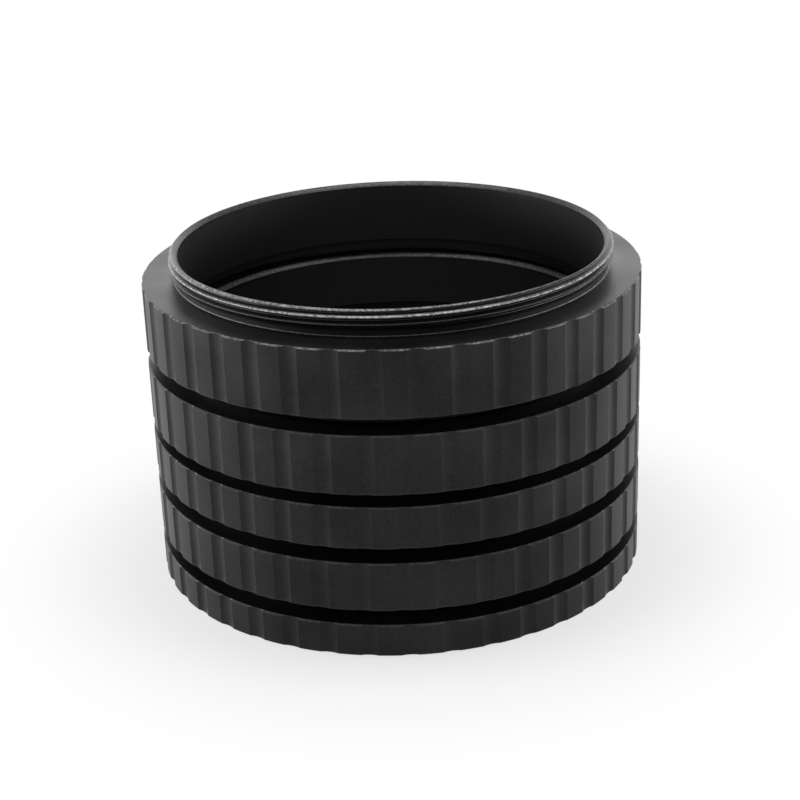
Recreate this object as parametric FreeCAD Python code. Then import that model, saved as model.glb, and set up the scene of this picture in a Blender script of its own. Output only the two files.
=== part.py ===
import FreeCAD, Part
import math
import os

# A screw-together extension tube for a telescope: five turned aluminium rings on one axis.
# Every ring has a threaded stub on top, a flat shoulder, a fluted grip band and a threaded
# socket underneath, so any ring screws onto any other. The rings stand partly unscrewed.
# Millimetres, +Z up along the tube, origin at the centre of the lowest ring's bottom face.

# Joining thread, drawn as plain cylinders at its major diameter
THREAD_DIAMETER = 48.0
THREAD_PITCH = 0.75
THREAD_CLEARANCE = 0.05

# Threaded stub on top of each ring
STUB_HEIGHT = 2.9
STUB_WALL = 1.0
STUB_LEAD_IN = 0.4

# Threaded socket under each ring
SOCKET_ROOM = 0.2
SOCKET_WALL = 2.95
SOCKET_LEAD_IN = 0.45

# Grip band, scooped all round by shallow flutes
FLUTE_COUNT = 40
FLUTE_WIDTH = 1.9
FLUTE_FLOOR = 0.85
FLUTE_DEPTH = 0.3

# Solid length of each ring between its socket and its shoulder
TOP_BARREL = 4.15
UPPER_BARREL = 3.3
MIDDLE_BARREL = 1.5
LOWER_BARREL = 2.25
BASE_BARREL = 0.45

# Turns by which each ring stands unscrewed from the shoulder below it
TOP_TURNS_OPEN = 2.2
UPPER_TURNS_OPEN = 1.7
MIDDLE_TURNS_OPEN = 2.1
LOWER_TURNS_OPEN = 2.1

# Angle of the middle of one flute on each ring, from +X, as the rings happen to be turned
TOP_FLUTE_ANGLE = -85.5
UPPER_FLUTE_ANGLE = -88.1
MIDDLE_FLUTE_ANGLE = -89.1
LOWER_FLUTE_ANGLE = -90.1
BASE_FLUTE_ANGLE = -88.8

# Sizes that follow from those above
thread_radius = THREAD_DIAMETER / 2
bore_radius = thread_radius - STUB_WALL
socket_radius = thread_radius + THREAD_CLEARANCE
outer_radius = socket_radius + SOCKET_WALL
socket_depth = STUB_HEIGHT + SOCKET_ROOM
full_turn = 360.0
flute_pitch = full_turn / FLUTE_COUNT

origin = FreeCAD.Vector(0, 0, 0)
tube_axis = FreeCAD.Vector(0, 0, 1)


def closed_face(corners):
    """Flat face inside a closed outline of corner points."""
    return Part.Face(Part.makePolygon(corners + corners[:1]))


def ring_section(length):
    """Half section of one ring, standing on z = 0 with its shoulder at z = length."""
    rim = length + STUB_HEIGHT
    corners = [
        (socket_radius + SOCKET_LEAD_IN, 0),
        (socket_radius, SOCKET_LEAD_IN),
        (socket_radius, socket_depth),
        (bore_radius, socket_depth),
        (bore_radius, rim),
        (thread_radius - STUB_LEAD_IN, rim),
        (thread_radius, rim - STUB_LEAD_IN),
        (thread_radius, length),
        (outer_radius, length),
        (outer_radius, 0),
    ]
    return closed_face([FreeCAD.Vector(radius, 0, height) for radius, height in corners])


def flute_cutter(length):
    """Bar that scoops one flute out of the band on the +X side: a flat floor and two open walls."""
    half_width = FLUTE_WIDTH / 2
    half_floor = FLUTE_FLOOR / 2
    floor_radius = outer_radius - FLUTE_DEPTH
    edge_radius = math.sqrt(outer_radius**2 - half_width**2)
    wall_slope = (half_width - half_floor) / (edge_radius - floor_radius)
    # The bar reaches one flute depth beyond the band and keeps the slope of the walls
    bar_radius = outer_radius + FLUTE_DEPTH
    half_bar = half_width + (bar_radius - edge_radius) * wall_slope
    corners = [
        FreeCAD.Vector(floor_radius, -half_floor, 0),
        FreeCAD.Vector(bar_radius, -half_bar, 0),
        FreeCAD.Vector(bar_radius, half_bar, 0),
        FreeCAD.Vector(floor_radius, half_floor, 0),
    ]
    return closed_face(corners).extrude(tube_axis * length)


def make_ring(barrel, flute_angle, base_height):
    """One ring, turned, fluted and set at its height and angle in the tube."""
    length = socket_depth + barrel
    ring = ring_section(length).revolve(origin, tube_axis, full_turn)
    # The seam of the turned faces lies in the middle of a land
    ring.rotate(origin, tube_axis, flute_pitch / 2)
    cutters = []
    for index in range(FLUTE_COUNT):
        cutter = flute_cutter(length)
        cutter.rotate(origin, tube_axis, index * flute_pitch)
        cutters.append(cutter)
    ring = ring.cut(cutters)
    ring.rotate(origin, tube_axis, flute_angle)
    ring.translate(tube_axis * base_height)
    return ring.Solids[0]


# The rings from the bottom up: node name, barrel, turns open and flute angle.
# The base ring stands on its own bottom face.
stack = [
    ("base_ring", BASE_BARREL, 0, BASE_FLUTE_ANGLE),
    ("lower_ring", LOWER_BARREL, LOWER_TURNS_OPEN, LOWER_FLUTE_ANGLE),
    ("middle_ring", MIDDLE_BARREL, MIDDLE_TURNS_OPEN, MIDDLE_FLUTE_ANGLE),
    ("upper_ring", UPPER_BARREL, UPPER_TURNS_OPEN, UPPER_FLUTE_ANGLE),
    ("top_ring", TOP_BARREL, TOP_TURNS_OPEN, TOP_FLUTE_ANGLE),
]

os.makedirs("parts", exist_ok=True)
shoulder = 0.0
for name, barrel, turns_open, flute_angle in stack:
    base_height = shoulder + turns_open * THREAD_PITCH
    ring = make_ring(barrel, flute_angle, base_height)
    ring.exportStep("parts/" + name + ".step")
    shoulder = base_height + socket_depth + barrel
    print(name, "from", round(base_height, 3), "to its shoulder at", round(shoulder, 3))
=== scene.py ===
# %% [markdown]
# # A screw-together extension tube for a telescope
#
# The tube is five turned aluminium rings on one axis. Each ring has a threaded stub on top, a flat
# shoulder, a grip band with forty shallow flutes, and a threaded socket underneath.
# The solids of the rings come in as a fixed frame. This lesson dresses each of them with a finer
# ring that also has the thread, the broken edges and the round flutes, and then gives it its finish.

# %% Load the frame
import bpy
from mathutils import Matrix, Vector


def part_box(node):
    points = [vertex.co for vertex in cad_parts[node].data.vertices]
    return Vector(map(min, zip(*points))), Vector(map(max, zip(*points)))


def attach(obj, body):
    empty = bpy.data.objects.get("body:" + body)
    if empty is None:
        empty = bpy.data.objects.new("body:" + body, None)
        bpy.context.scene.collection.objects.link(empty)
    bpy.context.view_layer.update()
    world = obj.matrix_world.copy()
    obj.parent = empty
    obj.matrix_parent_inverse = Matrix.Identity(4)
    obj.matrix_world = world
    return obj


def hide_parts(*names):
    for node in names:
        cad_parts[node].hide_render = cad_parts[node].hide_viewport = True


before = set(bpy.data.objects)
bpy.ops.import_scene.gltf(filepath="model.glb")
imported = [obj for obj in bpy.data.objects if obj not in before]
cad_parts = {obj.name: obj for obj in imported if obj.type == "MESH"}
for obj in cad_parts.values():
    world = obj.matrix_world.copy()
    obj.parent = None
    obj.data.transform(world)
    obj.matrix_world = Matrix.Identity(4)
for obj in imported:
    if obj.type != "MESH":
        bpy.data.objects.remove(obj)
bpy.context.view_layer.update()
print("Rings in the frame:", sorted(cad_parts))

# %% [markdown]
# ## Sizes
#
# A turned part is known by a handful of sizes, and a maker would write them on one drawing.
# They are kept together here, in metres, so that every later step reads the same drawing.
# The heights of the rings aren't repeated: they are read from the frame.

# %% Sizes shared by all five rings
import math
import bpy
import mathutils

MM = 0.001

LAND_RADIUS = 27.0 * MM
BORE_RADIUS = 23.0 * MM
THREAD_RADIUS = 24.0 * MM
SOCKET_RADIUS = 24.05 * MM
THREAD_PITCH = 0.75 * MM
THREAD_DEPTH = 0.46 * MM

STUB_HEIGHT = 2.9 * MM
SOCKET_DEPTH = 3.1 * MM
LEAD_IN = 0.45 * MM

FLUTE_COUNT = 40
FLUTE_WIDTH = 1.9 * MM
FLUTE_DEPTH = 0.24 * MM

# Broken edges of the band, and what is left of them in the middle of a flute
TOP_EDGE = 0.15 * MM
LOW_EDGE = 0.1 * MM
EDGE_LEFT = 0.03 * MM

# The angle of one flute on each ring, as the rings happen to be turned
flute_angle = {
    "top_ring": math.radians(-85.5),
    "upper_ring": math.radians(-88.1),
    "middle_ring": math.radians(-89.1),
    "lower_ring": math.radians(-90.1),
    "base_ring": math.radians(-88.8),
}
print("Flutes stand", round(360 / FLUTE_COUNT, 2), "degrees apart")

# %% [markdown]
# ## A helper for nodes
#
# Both the shapes and the finishes are node trees. One small function adds a node, sets its
# properties and fills or links its inputs, so that each node is one statement in the cells below.

# %% Add a node, and read a colour
def add_node(tree, kind, inputs=None, **settings):
    """Add a node, set its properties, and fill or link the inputs given by name or number."""
    node = tree.nodes.new(kind)
    for name, value in settings.items():
        setattr(node, name, value)
    for key, value in (inputs or {}).items():
        if isinstance(value, bpy.types.NodeSocket):
            tree.links.new(value, node.inputs[key])
        else:
            node.inputs[key].default_value = value
    return node


def linear(hex_colour):
    """Linear colour of an sRGB hex value such as 2c2c2e."""
    channels = [int(hex_colour[i:i + 2], 16) / 255 for i in (0, 2, 4)]
    curved = [c / 12.92 if c <= 0.04045 else ((c + 0.055) / 1.055) ** 2.4 for c in channels]
    return (*curved, 1.0)


print("Mid grey 808080 is", round(linear("808080")[0], 3), "in linear light")

# %% [markdown]
# ## The finish: black anodised aluminium
#
# The rings are bead blasted and then anodised: acid grows a hard clear oxide on the metal, and
# black dye fills its pores. To the eye that is a near-black satin which turns pale grey only where
# it is seen at a slant, with a fine grain from the blasting.
# On corners the oxide is thin and rubs through, so the broken edges and the thread's crests are a
# little brighter. The same lighter colour also paints highlights on the rim, its crowned chamfer,
# the thread's first turn and the top ring's fillet. The neck under the thread, the fillets inside
# the gaps and the top of the socket's thread get a darker dye, which is painted shade.
# Inside the bore the finish is left matt, so that no light is thrown into the image.
# Noise in Object coordinates has sizes in millimetres, and attributes that the rings carry from
# their section say where the finish is worn or carries a painted highlight, where it is matt, and
# where it carries painted shade.

# %% Patterns of the finish
BLAST_GRAIN = 0.22 * MM    # real grain is about 0.08 mm, drawn coarser so that it shows
CLOUD_SIZE = 7.0 * MM
RUB_SIZE = 0.35 * MM

black_anodised = bpy.data.materials.new("black_anodised_aluminium")
black_anodised.use_nodes = True
tree = black_anodised.node_tree
tree.nodes.clear()

place = add_node(tree, "ShaderNodeTexCoord").outputs["Object"]
grain = add_node(tree, "ShaderNodeTexNoise", {"Vector": place, "Scale": 1 / BLAST_GRAIN, "Detail": 2.0})
cloud = add_node(tree, "ShaderNodeTexNoise", {"Vector": place, "Scale": 1 / CLOUD_SIZE, "Detail": 3.0})
rub = add_node(tree, "ShaderNodeTexNoise", {"Vector": place, "Scale": 1 / RUB_SIZE, "Detail": 1.0})
worn = add_node(tree, "ShaderNodeAttribute", attribute_name="worn").outputs["Fac"]
matt = add_node(tree, "ShaderNodeAttribute", attribute_name="matt").outputs["Fac"]
deep = add_node(tree, "ShaderNodeAttribute", attribute_name="deep").outputs["Fac"]
print("Grain of", BLAST_GRAIN / MM, "mm, clouds of", CLOUD_SIZE / MM, "mm")

# %% Colour: dye, painted shade, and rubbed specks and painted highlights on the edges
DYE_DARK = linear("222222")
DYE_LIGHT = linear("2d2d2d")
BORE_DYE = linear("262626")
RECESS_SHADE_DYE = linear("1b1b1b")
# Bare metal, for real wear and for painted highlights
BARE_METAL_AND_HIGHLIGHT = linear("8a8a8a")

# Dye that varies a little from place to place and from grain to grain
mottle = add_node(tree, "ShaderNodeMath", {0: cloud.outputs["Fac"], 1: grain.outputs["Fac"]},
                  operation="ADD")
dyed = add_node(tree, "ShaderNodeMapRange", {"Value": mottle.outputs["Value"], "From Min": 0.7,
                "From Max": 1.3})
dye = add_node(tree, "ShaderNodeMix", {"Factor": dyed.outputs["Result"], "A": DYE_DARK, "B": DYE_LIGHT},
               data_type="RGBA")
dye_in_bore = add_node(tree, "ShaderNodeMix", {"Factor": matt, "A": dye.outputs["Result"], "B": BORE_DYE},
                       data_type="RGBA")
# Painted shade: a darker dye in the neck under the thread, in the fillets inside the gaps and at the top of
# the socket's thread
dye_with_recess_shade = add_node(tree, "ShaderNodeMix", {"Factor": deep, "A": dye_in_bore.outputs["Result"],
                         "B": RECESS_SHADE_DYE}, data_type="RGBA")

# Where the finish is worn, specks of it are rubbed away, and the same lighter specks are painted highlights
# on the rim, its chamfer, the thread's first turn and the top ring's fillet
speck = add_node(tree, "ShaderNodeMapRange", {"Value": rub.outputs["Fac"], "From Min": 0.35,
                 "From Max": 0.65, "To Min": 0.25, "To Max": 1.0})
wear_and_highlight_mask = add_node(tree, "ShaderNodeMath", {0: worn, 1: speck.outputs["Result"]}, operation="MULTIPLY")
colour = add_node(tree, "ShaderNodeMix", {"Factor": wear_and_highlight_mask.outputs["Value"],
                  "A": dye_with_recess_shade.outputs["Result"], "B": BARE_METAL_AND_HIGHLIGHT}, data_type="RGBA")
print("The colour takes", len(tree.nodes), "nodes so far")

# %% Gloss: satin on the outside, nearly flat black in the bore
SATIN_FINEST = 0.38
SATIN_COARSEST = 0.46
MATT = 0.62
BUMP_HEIGHT = 0.03 * MM

satin = add_node(tree, "ShaderNodeMapRange", {"Value": cloud.outputs["Fac"], "From Min": 0.3,
                 "From Max": 0.7, "To Min": SATIN_FINEST, "To Max": SATIN_COARSEST})
roughness = add_node(tree, "ShaderNodeMix", {"Factor": matt, "A": satin.outputs["Result"], "B": MATT})

blasted = add_node(tree, "ShaderNodeBump", {"Height": grain.outputs["Fac"], "Strength": 0.35,
                   "Distance": BUMP_HEIGHT})
shader = add_node(tree, "ShaderNodeBsdfPrincipled", {
    "Base Color": colour.outputs["Result"],
    "Metallic": 1.0,
    "Roughness": roughness.outputs["Result"],
    "Normal": blasted.outputs["Normal"],
})
add_node(tree, "ShaderNodeOutputMaterial", {"Surface": shader.outputs["BSDF"]})
print("Finish", black_anodised.name, "has", len(tree.nodes), "nodes")

# %% [markdown]
# ## The section of a ring
#
# On the lathe a ring is one outline turned round the axis. Here that outline is a loop of points,
# each with its radius and height. A zone number says where a thread shapes it later: 1 for the stub's
# and 2 for the socket's. Three more numbers say how much wear and painted highlight the finish has,
# how matt it is, and how much painted shade it has.
# The last two are for the flutes: how much of the scoop a point loses, and how far it slides along the
# axis. Both change along a broken edge, because the flutes run into it and leave only a sliver.
# The thread zones get a row of points every few hundredths of a millimetre, to carry the helix.
# The outline could be drawn as a curve by hand. Worked out stretch by stretch from the sizes, it
# follows when one of them changes.

# %% Straight and round stretches of the outline
PLAIN, STUB_THREAD, SOCKET_THREAD = 0, 1, 2
ROUND_STEPS = 8
THREAD_ROW = 0.03 * MM
QUARTER = math.pi / 2


def between(first, last, share):
    """Number at this share of the way from the first to the last."""
    return first + (last - first) * share


def run(start, end, steps, zone=PLAIN, worn=0.0, matt=0.0, deep=0.0, cut=(0.0, 0.0), slide=(0.0, 0.0)):
    """Points from start up to, but not including, end."""
    points = []
    for step in range(steps):
        share = step / steps
        radius = between(start[0], end[0], share)
        height = between(start[1], end[1], share)
        flute = (between(*cut, share), between(*slide, share))
        points.append((radius, height, zone, worn, matt, deep, *flute))
    return points


def thread_rows(start, end, zone, **finish):
    """Points of a thread zone, a row apart, from start up to, but not including, end."""
    rows = round(abs(end[1] - start[1]) / THREAD_ROW)
    return run(start, end, rows, zone, **finish)


def round_corner(centre, radius, first, last, worn=0.0, deep=0.0):
    """Points on an arc, from one angle up to, but not including, the other."""
    points = []
    for step in range(ROUND_STEPS):
        angle = between(first, last, step / ROUND_STEPS)
        spot = (centre[0] + radius * math.cos(angle), centre[1] + radius * math.sin(angle))
        points.append((*spot, PLAIN, worn, 0.0, deep, 0.0, 0.0))
    return points


print("One turn of the thread gets", round(THREAD_PITCH / THREAD_ROW), "rows of points")

# %% Grip band with its two broken edges
WEAR_FADE = 0.08 * MM

# Wear goes from untouched at 0 to rubbed through at 1, and on these edges it is partly a painted
# highlight. The top ring's upper edge lies open and gets more of it; the other edges are shielded by
# the next ring or by what the tube stands on, lie in their shade, and get less.
OPEN_EDGE_WEAR_AND_HIGHLIGHT = 0.5
COVERED_EDGE_WEAR_AND_HIGHLIGHT = 0.1


def band_outline(length, open_top):
    """Outside of the band, from its bottom edge up to the shoulder."""
    top_shrink = (TOP_EDGE - EDGE_LEFT) / FLUTE_DEPTH
    low_shrink = (LOW_EDGE - EDGE_LEFT) / FLUTE_DEPTH
    low_fade = LOW_EDGE + WEAR_FADE
    top_start = length - TOP_EDGE
    top_fade = top_start - WEAR_FADE
    top_wear_and_highlight = OPEN_EDGE_WEAR_AND_HIGHLIGHT if open_top else COVERED_EDGE_WEAR_AND_HIGHLIGHT
    return [
        *run((LAND_RADIUS - LOW_EDGE, 0), (LAND_RADIUS, LOW_EDGE), 2, worn=COVERED_EDGE_WEAR_AND_HIGHLIGHT,
             cut=(1 - low_shrink, 1), slide=(0, -low_shrink)),
        *run((LAND_RADIUS, LOW_EDGE), (LAND_RADIUS, low_fade), 1, worn=COVERED_EDGE_WEAR_AND_HIGHLIGHT,
             cut=(1, 1), slide=(-low_shrink, -low_shrink)),
        *run((LAND_RADIUS, low_fade), (LAND_RADIUS, top_fade), 3, cut=(1, 1)),
        *run((LAND_RADIUS, top_fade), (LAND_RADIUS, top_start), 1,
             cut=(1, 1), slide=(top_shrink, top_shrink)),
        *run((LAND_RADIUS, top_start), (LAND_RADIUS - TOP_EDGE, length), 2, worn=top_wear_and_highlight,
             cut=(1, 1 - top_shrink), slide=(top_shrink, 0)),
    ]


print("The band's outline has", len(band_outline(6 * MM, False)), "points")

# %% Shoulder, neck and threaded stub
NECK_RADIUS = 23.45 * MM
NECK_HEIGHT = 0.95 * MM
NECK_FILLET = 0.15 * MM
# The fillet's number paints a highlight on it, and the first turn's number is wear and a painted highlight
FILLET_HIGHLIGHT = 0.15
THREAD_WEAR = 0.1
FIRST_TURN_WEAR_AND_HIGHLIGHT = 1.0


def neck_outline(length, open_top):
    """Flat shoulder, fillet and the neck under the thread."""
    fillet_centre = (NECK_RADIUS + NECK_FILLET, length + NECK_FILLET)
    # The fillet gets a painted highlight on the top ring and painted shade on the others, where it lies in
    # the gap; the neck always gets painted shade
    finish = {"worn": FILLET_HIGHLIGHT} if open_top else {"deep": 1.0}
    return [
        *run((LAND_RADIUS - TOP_EDGE, length), (NECK_RADIUS + NECK_FILLET, length), 2),
        *round_corner(fillet_centre, NECK_FILLET, 3 * QUARTER, 2 * QUARTER, **finish),
        *run((NECK_RADIUS, length + NECK_FILLET), (NECK_RADIUS, length + NECK_HEIGHT), 2, deep=1.0),
    ]


def stub_outline(length):
    """Thread of the stub, from its run-out at the neck to its lead-in at the rim."""
    rim = length + STUB_HEIGHT
    start = length + NECK_HEIGHT
    full = start + (THREAD_RADIUS - NECK_RADIUS) / 2
    end = rim - LEAD_IN
    first_turn = end - THREAD_PITCH
    return [
        *thread_rows((NECK_RADIUS, start), (THREAD_RADIUS, full), STUB_THREAD, worn=THREAD_WEAR),
        *thread_rows((THREAD_RADIUS, full), (THREAD_RADIUS, first_turn), STUB_THREAD, worn=THREAD_WEAR),
        *thread_rows((THREAD_RADIUS, first_turn), (THREAD_RADIUS, end), STUB_THREAD, worn=FIRST_TURN_WEAR_AND_HIGHLIGHT),
        *thread_rows((THREAD_RADIUS, end), (THREAD_RADIUS - LEAD_IN, rim), STUB_THREAD,
                     worn=FIRST_TURN_WEAR_AND_HIGHLIGHT),
    ]


print("The stub's thread has", len(stub_outline(6 * MM)), "rows of points")

# %% Rim and bore
RIM_CHAMFER = 0.5 * MM
RIM_SLOPE_TOP = math.radians(30)
RIM_SLOPE_END = math.radians(52)
BORE_EDGE = 0.05 * MM
# The rim and its crowned chamfer are lighter partly from wear and partly as a painted highlight
RIM_WEAR_AND_HIGHLIGHT = 0.3
CROWN_WEAR_AND_HIGHLIGHT = 0.15


def rim_outline(length):
    """Top of the rim, its crowned chamfer, and the bore down to the socket."""
    rim = length + STUB_HEIGHT
    crown = RIM_CHAMFER / (math.sin(RIM_SLOPE_END) - math.sin(RIM_SLOPE_TOP))
    crown_centre = (BORE_RADIUS + crown * math.sin(RIM_SLOPE_END), rim - crown * math.cos(RIM_SLOPE_TOP))
    crown_end = crown_centre[1] + crown * math.cos(RIM_SLOPE_END)
    bore_end = SOCKET_DEPTH + BORE_EDGE
    return [
        *run((THREAD_RADIUS - LEAD_IN, rim), (BORE_RADIUS + RIM_CHAMFER, rim), 2, worn=RIM_WEAR_AND_HIGHLIGHT),
        *round_corner(crown_centre, crown, QUARTER + RIM_SLOPE_TOP, QUARTER + RIM_SLOPE_END,
                      worn=CROWN_WEAR_AND_HIGHLIGHT),
        *run((BORE_RADIUS, crown_end), (BORE_RADIUS, crown_end - RIM_CHAMFER), 1),
        *run((BORE_RADIUS, crown_end - RIM_CHAMFER), (BORE_RADIUS, bore_end), 3, matt=1.0),
        *run((BORE_RADIUS, bore_end), (BORE_RADIUS + BORE_EDGE, SOCKET_DEPTH), 1, matt=1.0),
    ]


print("The rim and the bore have", len(rim_outline(6 * MM)), "points")

# %% Socket and bottom face, and the outline as a whole
RELIEF_DEPTH = 0.3 * MM
RELIEF_HEIGHT = 1.55 * MM
SOCKET_WEAR = 0.2


def socket_outline():
    """Relief above the thread, the socket's thread with its lead-in, and the bottom face."""
    relief_radius = SOCKET_RADIUS + RELIEF_DEPTH
    end = SOCKET_DEPTH - RELIEF_HEIGHT
    last_turn = end - THREAD_PITCH
    return [
        *run((BORE_RADIUS + BORE_EDGE, SOCKET_DEPTH), (relief_radius, SOCKET_DEPTH), 2, matt=1.0),
        *run((relief_radius, SOCKET_DEPTH), (SOCKET_RADIUS, end), 4, matt=1.0),
        *thread_rows((SOCKET_RADIUS, end), (SOCKET_RADIUS, last_turn), SOCKET_THREAD, matt=1.0, deep=1.0),
        *thread_rows((SOCKET_RADIUS, last_turn), (SOCKET_RADIUS, LEAD_IN), SOCKET_THREAD, worn=SOCKET_WEAR),
        *thread_rows((SOCKET_RADIUS, LEAD_IN), (SOCKET_RADIUS + LEAD_IN, 0), SOCKET_THREAD,
                     worn=SOCKET_WEAR),
        *run((SOCKET_RADIUS + LEAD_IN, 0), (LAND_RADIUS - LOW_EDGE, 0), 2),
    ]


def ring_section(length, open_top):
    """Points of a ring of this length: radius, height, zone, wear and painted highlight, matt, painted
    shade, cut and slide.
    """
    outside = band_outline(length, open_top) + neck_outline(length, open_top) + stub_outline(length)
    return outside + rim_outline(length) + socket_outline()


print("A 6 mm ring's outline has", len(ring_section(6 * MM, False)), "points")

# %% [markdown]
# ## Turning, fluting and threading a ring
#
# The real ring is turned from its outline, the flutes are then milled one by one with a round
# cutter, and the threads are cut on a helix. All three follow rules, so one Geometry Nodes tree
# makes every ring. It sweeps the outline round a circle, and then sets each point's radius:
# on the band the cutter's round scoop is taken off, and in the threads the radius follows a wave that
# climbs one pitch in each turn.
# The steps round the circle are crowded into the flutes, so that a step falls on every flute's edge.
# Modelling one flute and arraying it would work too, but its edges would have to be welded.

# %% Inputs of the ring tree
ring_tree = bpy.data.node_groups.new("turned_ring", "GeometryNodeTree")
ring_tree.interface.new_socket("Ring", in_out="OUTPUT", socket_type="NodeSocketGeometry")
ring_tree.interface.new_socket("Outline", in_out="INPUT", socket_type="NodeSocketGeometry")
ring_tree.interface.new_socket("Steps round", in_out="INPUT", socket_type="NodeSocketInt")
for name in ("Flute count", "Flute share of steps", "Half flute angle", "Land angle", "Flute angle",
             "Land radius", "Cutter radius", "Cutter centre", "Thread radius", "Socket radius",
             "Thread pitch", "Thread depth", "Crest height"):
    ring_tree.interface.new_socket(name, in_out="INPUT", socket_type="NodeSocketFloat")
ring_tree.interface.new_socket("Finish", in_out="INPUT", socket_type="NodeSocketMaterial")
given = add_node(ring_tree, "NodeGroupInput").outputs
socket_id = {item.name: item.identifier for item in ring_tree.interface.items_tree
             if item.in_out == "INPUT"}
print("The ring tree has", len(socket_id), "inputs")

# %% Sweep the outline round the axis
profile = add_node(ring_tree, "GeometryNodeMeshToCurve", {"Mesh": given["Outline"]})
circle = add_node(ring_tree, "GeometryNodeCurvePrimitiveCircle", {"Resolution": given["Steps round"],
                  "Radius": given["Thread radius"]})
index = add_node(ring_tree, "GeometryNodeInputIndex")
turn = add_node(ring_tree, "ShaderNodeMath", {0: index.outputs["Index"], 1: given["Steps round"]},
                operation="DIVIDE")
marked = add_node(ring_tree, "GeometryNodeStoreNamedAttribute", {"Geometry": circle.outputs["Curve"],
                  "Name": "turn", "Value": turn.outputs["Value"]}, data_type="FLOAT", domain="POINT")
swept = add_node(ring_tree, "GeometryNodeCurveToMesh", {"Curve": marked.outputs["Geometry"],
                 "Profile Curve": profile.outputs["Curve"]})
carried = {}
for name in ("turn", "from_axis", "height", "zone", "cut", "slide", "worn"):
    carried[name] = add_node(ring_tree, "GeometryNodeInputNamedAttribute", {"Name": name},
                             data_type="FLOAT").outputs["Attribute"]
print("Numbers carried by the swept points:", ", ".join(carried))

# %% Angle of each point, with steps crowded into the flutes
flutes_turned = add_node(ring_tree, "ShaderNodeMath", {0: carried["turn"], 1: given["Flute count"]},
                         operation="MULTIPLY").outputs["Value"]
flute_number = add_node(ring_tree, "ShaderNodeMath", {0: flutes_turned}, operation="FLOOR")
step_share = add_node(ring_tree, "ShaderNodeMath", {0: flutes_turned}, operation="FRACT").outputs["Value"]
minus_half = add_node(ring_tree, "ShaderNodeMath", {0: given["Half flute angle"], 1: -1.0},
                      operation="MULTIPLY")
in_flute = add_node(ring_tree, "ShaderNodeMapRange", {"Value": step_share,
                    "From Max": given["Flute share of steps"], "To Min": minus_half.outputs["Value"],
                    "To Max": given["Half flute angle"]})
on_land = add_node(ring_tree, "ShaderNodeMapRange", {"Value": step_share,
                   "From Min": given["Flute share of steps"], "To Max": given["Land angle"]})
off_flute = add_node(ring_tree, "ShaderNodeMath", {0: in_flute.outputs["Result"],
                     1: on_land.outputs["Result"]}, operation="ADD").outputs["Value"]
flute_step = add_node(ring_tree, "ShaderNodeMath", {0: math.tau, 1: given["Flute count"]},
                      operation="DIVIDE")
from_first = add_node(ring_tree, "ShaderNodeMath", {0: flute_number.outputs["Value"],
                      1: flute_step.outputs["Value"], 2: off_flute}, operation="MULTIPLY_ADD")
angle = add_node(ring_tree, "ShaderNodeMath", {0: from_first.outputs["Value"], 1: given["Flute angle"]},
                 operation="ADD").outputs["Value"]
print("Angles use", len(ring_tree.nodes), "nodes so far")

# %% Radius on the band: what the round scoop of the cutter leaves
sine = add_node(ring_tree, "ShaderNodeMath", {0: off_flute}, operation="SINE")
cosine = add_node(ring_tree, "ShaderNodeMath", {0: off_flute}, operation="COSINE")
across = add_node(ring_tree, "ShaderNodeMath", {0: sine.outputs["Value"], 1: given["Cutter centre"]},
                  operation="MULTIPLY").outputs["Value"]
along = add_node(ring_tree, "ShaderNodeMath", {0: cosine.outputs["Value"], 1: given["Cutter centre"]},
                 operation="MULTIPLY")
across_squared = add_node(ring_tree, "ShaderNodeMath", {0: across, 1: across}, operation="MULTIPLY")
cutter_squared = add_node(ring_tree, "ShaderNodeMath", {0: given["Cutter radius"],
                          1: given["Cutter radius"]}, operation="MULTIPLY")
left_over = add_node(ring_tree, "ShaderNodeMath", {0: cutter_squared.outputs["Value"],
                     1: across_squared.outputs["Value"]}, operation="SUBTRACT")
reach = add_node(ring_tree, "ShaderNodeMath", {0: left_over.outputs["Value"]}, operation="SQRT")
scoop = add_node(ring_tree, "ShaderNodeMath", {0: along.outputs["Value"], 1: reach.outputs["Value"]},
                 operation="SUBTRACT")
under_land = add_node(ring_tree, "ShaderNodeMath", {0: given["Land radius"], 1: scoop.outputs["Value"]},
                      operation="SUBTRACT")
scooped = add_node(ring_tree, "ShaderNodeMath", {0: under_land.outputs["Value"], 1: 0.0},
                   operation="MAXIMUM").outputs["Value"]
loss = add_node(ring_tree, "ShaderNodeMath", {0: scooped, 1: carried["cut"]}, operation="MULTIPLY")
fluted = add_node(ring_tree, "ShaderNodeMath", {0: carried["from_axis"], 1: loss.outputs["Value"]},
                  operation="SUBTRACT")
slid = add_node(ring_tree, "ShaderNodeMath", {0: scooped, 1: carried["slide"], 2: carried["height"]},
                operation="MULTIPLY_ADD")
print("The band's radius takes", len(ring_tree.nodes), "nodes so far")

# %% Radius in the threads: a wave that climbs one pitch in a turn
ROOT_END = 0.14      # nearness to the crest at which the flat root ends
CREST_START = 0.86   # and at which the flat crest starts
# On the thread, wear and painted highlight start halfway up the flank and are full near the crest
TIP_START = 0.5      # wear begins halfway up the flank
TIP_FULL = 0.8

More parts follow.
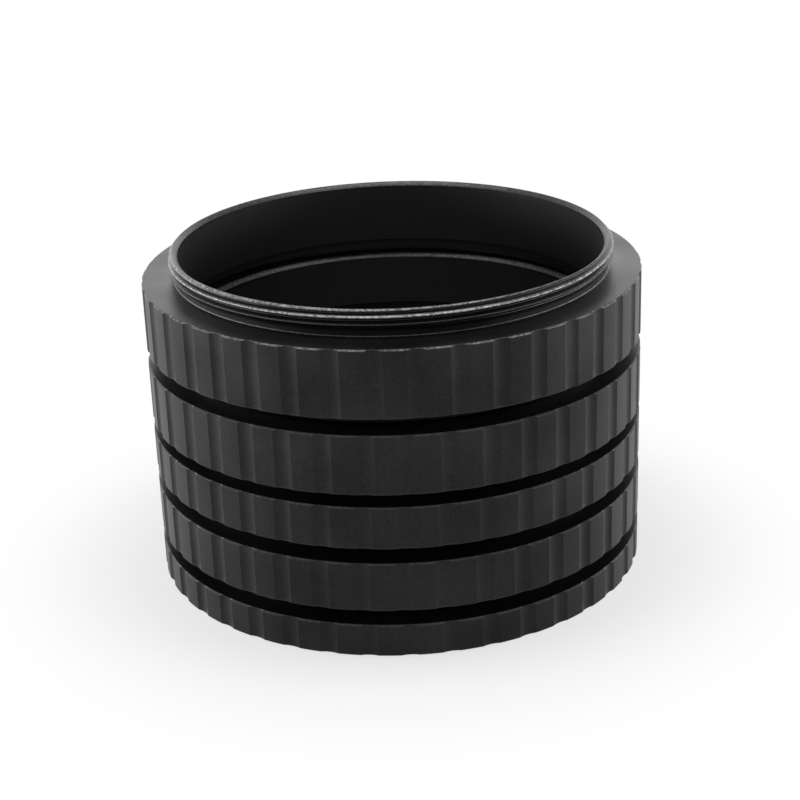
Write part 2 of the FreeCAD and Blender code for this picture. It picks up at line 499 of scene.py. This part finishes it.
above_crest = add_node(ring_tree, "ShaderNodeMath", {0: carried["height"], 1: given["Crest height"]},
                       operation="SUBTRACT")
pitches_up = add_node(ring_tree, "ShaderNodeMath", {0: above_crest.outputs["Value"],
                      1: given["Thread pitch"]}, operation="DIVIDE")
phase = add_node(ring_tree, "ShaderNodeMath", {0: angle, 1: -1 / math.tau, 2: pitches_up.outputs["Value"]},
                 operation="MULTIPLY_ADD")
in_pitch = add_node(ring_tree, "ShaderNodeMath", {0: phase.outputs["Value"]}, operation="FRACT")
doubled = add_node(ring_tree, "ShaderNodeMath", {0: in_pitch.outputs["Value"], 1: 2.0, 2: -1.0},
                   operation="MULTIPLY_ADD")
near_crest = add_node(ring_tree, "ShaderNodeMath", {0: doubled.outputs["Value"]}, operation="ABSOLUTE")
groove = add_node(ring_tree, "ShaderNodeMapRange", {"Value": near_crest.outputs["Value"],
                  "From Min": ROOT_END, "From Max": CREST_START, "To Min": given["Thread depth"],
                  "To Max": 0.0}).outputs["Result"]
cut_in = add_node(ring_tree, "ShaderNodeMath", {0: given["Thread radius"], 1: groove}, operation="SUBTRACT")
cut_out = add_node(ring_tree, "ShaderNodeMath", {0: given["Socket radius"], 1: groove}, operation="ADD")
stub_thread = add_node(ring_tree, "ShaderNodeMath", {0: carried["from_axis"], 1: cut_in.outputs["Value"]},
                       operation="MINIMUM")
socket_thread = add_node(ring_tree, "ShaderNodeMath", {0: carried["from_axis"],
                         1: cut_out.outputs["Value"]}, operation="MAXIMUM")
tip = add_node(ring_tree, "ShaderNodeMapRange", {"Value": near_crest.outputs["Value"],
               "From Min": TIP_START, "From Max": TIP_FULL})
worn_tip = add_node(ring_tree, "ShaderNodeMath", {0: carried["worn"], 1: tip.outputs["Result"]},
                    operation="MULTIPLY")
print("The threads take", len(ring_tree.nodes), "nodes so far")

# %% Put every point in its place
chosen = add_node(ring_tree, "GeometryNodeIndexSwitch", data_type="FLOAT")
chosen.index_switch_items.new()
by_zone = [carried["zone"], fluted.outputs["Value"], stub_thread.outputs["Value"],
           socket_thread.outputs["Value"]]
for number, source in enumerate(by_zone):
    ring_tree.links.new(source, chosen.inputs[number])
new_radius = chosen.outputs["Output"]
turn_cosine = add_node(ring_tree, "ShaderNodeMath", {0: angle}, operation="COSINE")
turn_sine = add_node(ring_tree, "ShaderNodeMath", {0: angle}, operation="SINE")
x = add_node(ring_tree, "ShaderNodeMath", {0: turn_cosine.outputs["Value"], 1: new_radius},
             operation="MULTIPLY")
y = add_node(ring_tree, "ShaderNodeMath", {0: turn_sine.outputs["Value"], 1: new_radius},
             operation="MULTIPLY")
spot = add_node(ring_tree, "ShaderNodeCombineXYZ", {"X": x.outputs["Value"], "Y": y.outputs["Value"],
                "Z": slid.outputs["Value"]})
placed = add_node(ring_tree, "GeometryNodeSetPosition", {"Geometry": swept.outputs["Mesh"],
                  "Position": spot.outputs["Vector"]})
print("Places take", len(ring_tree.nodes), "nodes so far")

# %% Turn the faces outward, shade them and give them their finish
GENTLE_FOLD = math.radians(15)   # a sharper fold between faces stays a crisp edge

threaded = add_node(ring_tree, "FunctionNodeCompare", {"A": carried["zone"], "B": 0.5},
                    data_type="FLOAT", operation="GREATER_THAN")
# The sweep leaves the faces pointing into the metal, so they are turned round
outward = add_node(ring_tree, "GeometryNodeFlipFaces", {"Mesh": placed.outputs["Geometry"]})
# Wear and painted highlight on the threads are kept near the crests
crest_wear_and_highlight = add_node(ring_tree, "GeometryNodeStoreNamedAttribute", {"Geometry": outward.outputs["Mesh"],
                  "Selection": threaded.outputs["Result"], "Name": "worn",
                  "Value": worn_tip.outputs["Value"]}, data_type="FLOAT", domain="POINT")
fold = add_node(ring_tree, "GeometryNodeInputMeshEdgeAngle").outputs["Unsigned Angle"]
gentle = add_node(ring_tree, "FunctionNodeCompare", {"A": fold, "B": GENTLE_FOLD},
                  data_type="FLOAT", operation="LESS_THAN")
rounded = add_node(ring_tree, "FunctionNodeBooleanMath", {0: gentle.outputs["Result"],
                   1: threaded.outputs["Result"]}, operation="OR")
shaded = add_node(ring_tree, "GeometryNodeSetShadeSmooth", {"Geometry": crest_wear_and_highlight.outputs["Geometry"],
                  "Shade Smooth": rounded.outputs["Boolean"]}, domain="EDGE")
realised = add_node(ring_tree, "GeometryNodeRealizeInstances", {"Geometry": shaded.outputs["Geometry"]})
finished = add_node(ring_tree, "GeometryNodeSetMaterial", {"Geometry": realised.outputs["Geometry"],
                    "Material": given["Finish"]})
add_node(ring_tree, "NodeGroupOutput", {"Ring": finished.outputs["Geometry"]})
print("The whole ring tree has", len(ring_tree.nodes), "nodes")

# %% [markdown]
# ## The five rings
#
# Each ring gets its own outline at its own height, and the tree's inputs get the ring's numbers.
# The cutter's radius follows from the flute's width and depth, as it would in the workshop.
# The result is turned into a plain mesh, because a finished piece carries no live modifier.

# %% The cutter, and an outline as a mesh
half_width = FLUTE_WIDTH / 2
half_flute_angle = math.asin(half_width / LAND_RADIUS)
land_angle = math.tau / FLUTE_COUNT - 2 * half_flute_angle
chord_depth = FLUTE_DEPTH - LAND_RADIUS * (1 - math.cos(half_flute_angle))
cutter_radius = (half_width ** 2 + chord_depth ** 2) / (2 * chord_depth)
cutter_centre = LAND_RADIUS - FLUTE_DEPTH + cutter_radius


def outline_mesh(name, length, base_height, open_top):
    """Loop of edges along a ring's outline, with the numbers that the ring tree reads."""
    outline = ring_section(length, open_top)
    count = len(outline)
    mesh = bpy.data.meshes.new(name)
    mesh.from_pydata([(radius, 0, base_height + height) for radius, height, *_ in outline],
                     [(i, (i + 1) % count) for i in range(count)], [])
    columns = {"from_axis": 0, "zone": 2, "worn": 3, "matt": 4, "deep": 5, "cut": 6, "slide": 7}
    for label, column in columns.items():
        attribute = mesh.attributes.new(label, "FLOAT", "POINT")
        attribute.data.foreach_set("value", [point[column] for point in outline])
    attribute = mesh.attributes.new("height", "FLOAT", "POINT")
    attribute.data.foreach_set("value", [base_height + point[1] for point in outline])
    return mesh


print("The flutes are cut with a radius of", round(cutter_radius / MM, 2), "mm")

# %% Make the rings
FLUTE_STEPS = 8
LAND_STEPS = 4
CREST_ABOVE_SHOULDER = 1.59 * MM

for node in flute_angle:
    low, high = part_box(node)
    length = high.z - low.z - STUB_HEIGHT
    mesh = outline_mesh("outline_" + node, length, low.z, node == "top_ring")
    maker = bpy.data.objects.new("outline_" + node, mesh)
    bpy.context.scene.collection.objects.link(maker)
    modifier = maker.modifiers.new("turned_ring", "NODES")
    modifier.node_group = ring_tree
    numbers = {
        "Steps round": FLUTE_COUNT * (FLUTE_STEPS + LAND_STEPS),
        "Flute count": float(FLUTE_COUNT),
        "Flute share of steps": FLUTE_STEPS / (FLUTE_STEPS + LAND_STEPS),
        "Half flute angle": half_flute_angle,
        "Land angle": land_angle,
        "Flute angle": flute_angle[node],
        "Land radius": LAND_RADIUS,
        "Cutter radius": cutter_radius,
        "Cutter centre": cutter_centre,
        "Thread radius": THREAD_RADIUS,
        "Socket radius": SOCKET_RADIUS,
        "Thread pitch": THREAD_PITCH,
        "Thread depth": THREAD_DEPTH,
        "Crest height": low.z + length + CREST_ABOVE_SHOULDER,
        "Finish": black_anodised,
    }
    for label, value in numbers.items():
        modifier[socket_id[label]] = value
    made = maker.evaluated_get(bpy.context.evaluated_depsgraph_get())
    mesh = bpy.data.meshes.new_from_object(made)
    bpy.data.objects.remove(maker)
    for label in ("turn", "from_axis", "height", "zone", "cut", "slide"):
        mesh.attributes.remove(mesh.attributes[label])
    ring = bpy.data.objects.new("turned_" + node, mesh)
    bpy.context.scene.collection.objects.link(ring)
    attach(ring, node)
    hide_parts(node)
    print(node, "is", round(length / MM, 2), "mm long, with", len(mesh.polygons), "faces")

# %% [markdown]
# ## Floor
#
# The tube stands on a white sheet that runs far past the picture's edges. The sheet takes the tube's
# soft shadow. Away from the tube it goes over to plain white for the camera and for reflections,
# as a bright sweep does in a studio.

# %% White sheet
FLOOR_HALF = 3.0
FLOOR_DROP = 0.02 * MM

floor_mesh = bpy.data.meshes.new("white_sheet")
corners = [(-FLOOR_HALF, -FLOOR_HALF), (FLOOR_HALF, -FLOOR_HALF), (FLOOR_HALF, FLOOR_HALF),
           (-FLOOR_HALF, FLOOR_HALF)]
floor_mesh.from_pydata([(x, y, -FLOOR_DROP) for x, y in corners], [], [(0, 1, 2, 3)])
floor = bpy.data.objects.new("white_sheet", floor_mesh)
bpy.context.scene.collection.objects.link(floor)
print("Floor lies", FLOOR_DROP / MM, "mm under the tube")

# %% White paper
SHADOW_FROM = 28 * MM
PLAIN_FROM = 50 * MM
WHITE_IN_SHADOW = 0.65


def looked_at(tree):
    """Socket that is 1 where the camera looks straight, in a reflection or through glass, and else 0."""
    ray = add_node(tree, "ShaderNodeLightPath").outputs
    direct = add_node(tree, "ShaderNodeMath", {0: ray["Is Camera Ray"], 1: ray["Is Glossy Ray"]},
                      operation="MAXIMUM")
    return add_node(tree, "ShaderNodeMath", {0: direct.outputs["Value"], 1: ray["Is Transmission Ray"]},
                    operation="MAXIMUM").outputs["Value"]


white_paper = bpy.data.materials.new("white_paper")
white_paper.use_nodes = True
tree = white_paper.node_tree
tree.nodes.clear()
place = add_node(tree, "ShaderNodeTexCoord").outputs["Object"]
away = add_node(tree, "ShaderNodeVectorMath", {0: place}, operation="LENGTH")
plain = add_node(tree, "ShaderNodeMapRange", {"Value": away.outputs["Value"], "From Min": SHADOW_FROM,
                 "From Max": PLAIN_FROM, "To Min": WHITE_IN_SHADOW}, interpolation_type="SMOOTHSTEP")
share = add_node(tree, "ShaderNodeMath", {0: looked_at(tree), 1: plain.outputs["Result"]},
                 operation="MULTIPLY")
paper = add_node(tree, "ShaderNodeBsdfPrincipled", {"Base Color": linear("ebebea"), "Roughness": 0.9})
white = add_node(tree, "ShaderNodeEmission", {"Color": linear("ffffff"), "Strength": 1.0})
mixed = add_node(tree, "ShaderNodeMixShader", {0: share.outputs["Value"], 1: paper.outputs["BSDF"],
                 2: white.outputs["Emission"]})
add_node(tree, "ShaderNodeOutputMaterial", {"Surface": mixed.outputs["Shader"]})
floor_mesh.materials.append(white_paper)
print("The sheet is plain white from", round(PLAIN_FROM / MM), "mm off the axis")

# %% [markdown]
# ## Light
#
# A black satin part shows its shape by what it mirrors, so it is lit by large white surfaces rather
# than by small bright lamps. The world is a white tent. A wide box right overhead draws the lines on
# the rim, the thread and the shoulder's edge. A box behind brightens the flat shoulder, which is seen
# at a slant. Two low strips left and right lift the sides of the bands, and no lamp stands on the
# camera's side, which keeps the front of the tube dark.

# %% White tent
TENT_FILL = 0.1    # the tent's share in lighting dull surfaces, beside its full white in reflections

world = bpy.data.worlds.new("white_tent")
bpy.context.scene.world = world
world.use_nodes = True
tree = world.node_tree
tree.nodes.clear()
strength = add_node(tree, "ShaderNodeMapRange", {"Value": looked_at(tree), "To Min": TENT_FILL})
tent = add_node(tree, "ShaderNodeBackground", {"Color": linear("ffffff"),
                "Strength": strength.outputs["Result"]})
add_node(tree, "ShaderNodeOutputWorld", {"Surface": tent.outputs["Background"]})
print("The tent lights dull surfaces at", TENT_FILL, "of white")

# %% Lamps
TUBE_MIDDLE = mathutils.Vector((0, 0, 0.018))


def add_softbox(name, place, width, height, radiance):
    """Lamp of this size that faces the middle of the tube, with this brightness over its surface."""
    lamp = bpy.data.lights.new(name, "AREA")
    lamp.shape = "RECTANGLE"
    lamp.size = width
    lamp.size_y = height
    lamp.energy = radiance * math.pi * width * height
    softbox = bpy.data.objects.new(name, lamp)
    softbox.location = place
    facing = TUBE_MIDDLE - softbox.location
    softbox.rotation_euler = facing.to_track_quat("-Z", "Y").to_euler()
    softbox.visible_camera = False
    bpy.context.scene.collection.objects.link(softbox)
    print(name, "gives", round(lamp.energy, 2), "watts")


add_softbox("softbox_above", place=(0, 0.02, 0.6), width=0.6, height=0.16, radiance=7.0)
add_softbox("softbox_back", place=(0, 0.6, 0.24), width=1.0, height=0.3, radiance=1.4)
add_softbox("strip_left", place=(-0.45, 0.02, 0.055), width=0.6, height=0.1, radiance=16.0)
add_softbox("strip_right", place=(0.45, 0.02, 0.055), width=0.6, height=0.1, radiance=12.0)

# %% [markdown]
# ## Camera
#
# The picture was taken from close by with a short telephoto lens, a little above the tube and
# slightly tilted. The place and the tilt were found by fitting the circles of the rings to the picture.

# %% Place the camera
LENS = 81.0
SENSOR_WIDTH = 36.0
CAMERA_AWAY = 187.14 * MM
CAMERA_HEIGHT = 92.38 * MM
CAMERA_PITCH = math.radians(68.101)
CAMERA_ROLL = math.radians(1.943)
CAMERA_YAW = math.radians(-0.908)

camera_data = bpy.data.cameras.new("camera")
camera_data.sensor_width = SENSOR_WIDTH
camera_data.lens = LENS
camera = bpy.data.objects.new("camera", camera_data)
camera.location = (0, -CAMERA_AWAY, CAMERA_HEIGHT)
camera.rotation_euler = (CAMERA_PITCH, CAMERA_ROLL, CAMERA_YAW)
camera_data.clip_start = 0.01
camera_data.clip_end = 20
bpy.context.scene.collection.objects.link(camera)
bpy.context.scene.camera = camera
bpy.context.scene.view_settings.view_transform = "Standard"
print("Camera looks down by", round(90 - math.degrees(CAMERA_PITCH), 1), "degrees")

# %% [markdown]
# ## Bring the scene up to date
#
# The dressed rings must fill the same box as the solids. This last step only brings the scene up to date.

# %% Bring the scene up to date
bpy.context.view_layer.update()
